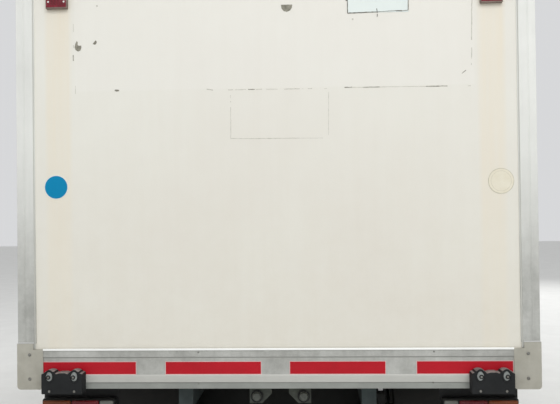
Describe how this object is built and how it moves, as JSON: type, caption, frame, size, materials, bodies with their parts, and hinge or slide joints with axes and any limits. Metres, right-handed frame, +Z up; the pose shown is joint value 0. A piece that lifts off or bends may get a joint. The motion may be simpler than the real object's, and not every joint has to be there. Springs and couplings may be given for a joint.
{
  "type": "refrigerated truck",
  "caption": "Light forward-control truck with an insulated box, side door, cooling unit and tilting cab; wheels spin, front wheels steer, doors swing.",
  "frame": {"origin": "on the ground under the middle of the vehicle's bounding box", "axes": "+X to the vehicle's right, +Y forward along its length, +Z up"},
  "size_m": [2.48, 5.99, 2.98],
  "materials": {
    "panel": "satin moulded skin, cream white",
    "aluminium_edge": "satin extruded aluminium",
    "casting": "matt beige grey paint",
    "buffer_rubber": "matt moulded rubber",
    "lens": "gloss moulded lens",
    "black_steel": "satin black paint",
    "frame_steel": "satin dark grey paint",
    "grey_steel": "satin grey paint",
    "tyre_rubber": "matt",
    "wheel_steel": "satin silver paint",
    "cab_paint": "gloss white paint",
    "bumper_paint": "satin grey paint",
    "headlamp_glass": "clear moulded lens",
    "window_glass": "clear, faint green",
    "trim_plastic": "fine grained",
    "seat_fabric": "woven",
    "mirror_plastic": "fine grained",
    "unit_plastic": "satin moulded cover",
    "tank_metal": "brushed",
    "exhaust_metal": "heat stained",
    "bright_steel": "zinc plated",
    "engine_iron": "cast"
  },
  "bodies": {
    "chassis": {"battery_box": "black_steel", "box_castings": "casting", "box_edges": "aluminium_edge", "box_floor": "panel", "box_roof": "panel", "box_subframe": "grey_steel", "box_wall_front": "panel", "box_wall_left": "panel", "box_wall_rear": "panel", "box_wall_right": "panel", "bumper_stays": "frame_steel", "chassis_frame": "frame_steel", "cooling_unit": "unit_plastic", "engine_block": "engine_iron", "evaporator": "unit_plastic", "exhaust": "exhaust_metal", "front_axle": "frame_steel", "front_bumper": "bumper_paint", "fuel_tank": "tank_metal", "guard_bars": "grey_steel", "headlamps": "headlamp_glass", "lamp_brackets": "black_steel", "leaf_springs": "frame_steel", "marker_lamps": "lens", "propeller_shaft": "frame_steel", "rear_axle": "frame_steel", "rear_buffers": "buffer_rubber", "rear_mudguards": "black_steel", "side_door_hinges": "bright_steel", "tail_lamps": "lens"},
    "wheel_front_left": {"tyre_front_left": "tyre_rubber", "rim_front_left": "wheel_steel"},
    "wheel_front_right": {"tyre_front_right": "tyre_rubber", "rim_front_right": "wheel_steel"},
    "wheels_rear_left": {"tyres_rear_left": "tyre_rubber", "rims_rear_left": "wheel_steel"},
    "wheels_rear_right": {"tyres_rear_right": "tyre_rubber", "rims_rear_right": "wheel_steel"},
    "knuckle_left": {"knuckle_left": "frame_steel"},
    "knuckle_right": {"knuckle_right": "frame_steel"},
    "tie_rod": {"tie_rod": "frame_steel"},
    "cab": {"cab_dashboard": "trim_plastic", "cab_floor": "trim_plastic", "cab_front_panel": "cab_paint", "cab_glass": "window_glass", "cab_pivot_arms": "frame_steel", "cab_rear_panel": "cab_paint", "cab_roof": "cab_paint", "cab_seats": "seat_fabric", "cab_sides": "cab_paint", "cab_skirts": "cab_paint", "mirrors": "mirror_plastic"},
    "cab_door_left": {"cab_door_left": "cab_paint", "cab_door_glass_left": "window_glass"},
    "cab_door_right": {"cab_door_right": "cab_paint", "cab_door_glass_right": "window_glass"},
    "side_door": {"side_door": "panel", "side_door_hardware": "bright_steel"}
  },
  "joints": [
    {"name": "steer_left", "type": "hinge", "parent": "chassis", "child": "knuckle_left", "pos_m": [-0.7, 1.885, 0.4025], "axis": [0, 0, 1], "range_deg": [-33, 33]},
    {"name": "steer_right", "type": "hinge", "parent": "chassis", "child": "knuckle_right", "pos_m": [0.7, 1.885, 0.4025], "axis": [0, 0, 1], "range_deg": [-33, 33]},
    {"name": "tie_rod_swing", "type": "hinge", "parent": "knuckle_left", "child": "tie_rod", "pos_m": [-0.7, 1.715, 0.3195], "axis": [0, 0, 1], "range_deg": [-33, 33]},
    {"name": "spin_front_left", "type": "hinge", "parent": "knuckle_left", "child": "wheel_front_left", "pos_m": [-0.83, 1.885, 0.4025], "axis": [1, 0, 0], "continuous": true},
    {"name": "spin_front_right", "type": "hinge", "parent": "knuckle_right", "child": "wheel_front_right", "pos_m": [0.83, 1.885, 0.4025], "axis": [1, 0, 0], "continuous": true},
    {"name": "spin_rear_left", "type": "hinge", "parent": "chassis", "child": "wheels_rear_left", "pos_m": [-0.81, -1.475, 0.4025], "axis": [1, 0, 0], "continuous": true},
    {"name": "spin_rear_right", "type": "hinge", "parent": "chassis", "child": "wheels_rear_right", "pos_m": [0.81, -1.475, 0.4025], "axis": [1, 0, 0], "continuous": true},
    {"name": "cab_tilt", "type": "hinge", "parent": "chassis", "child": "cab", "pos_m": [0, 2.88, 0.76], "axis": [-1, 0, 0], "range_deg": [0, 45]},
    {"name": "cab_door_left_swing", "type": "hinge", "parent": "cab", "child": "cab_door_left", "pos_m": [-1.012, 2.746, 1.5], "axis": [0, 0, -1], "range_deg": [0, 70]},
    {"name": "cab_door_right_swing", "type": "hinge", "parent": "cab", "child": "cab_door_right", "pos_m": [1.012, 2.746, 1.5], "axis": [0, 0, 1], "range_deg": [0, 70]},
    {"name": "side_door_swing", "type": "hinge", "parent": "chassis", "child": "side_door", "pos_m": [1.074, 0.26, 1.92], "axis": [0, 0, 1], "range_deg": [0, 180]}
  ],
  "couplings": [
    {"joint": "steer_right", "follows": "steer_left", "ratio": 1},
    {"joint": "tie_rod_swing", "follows": "steer_left", "ratio": -1}
  ]
}
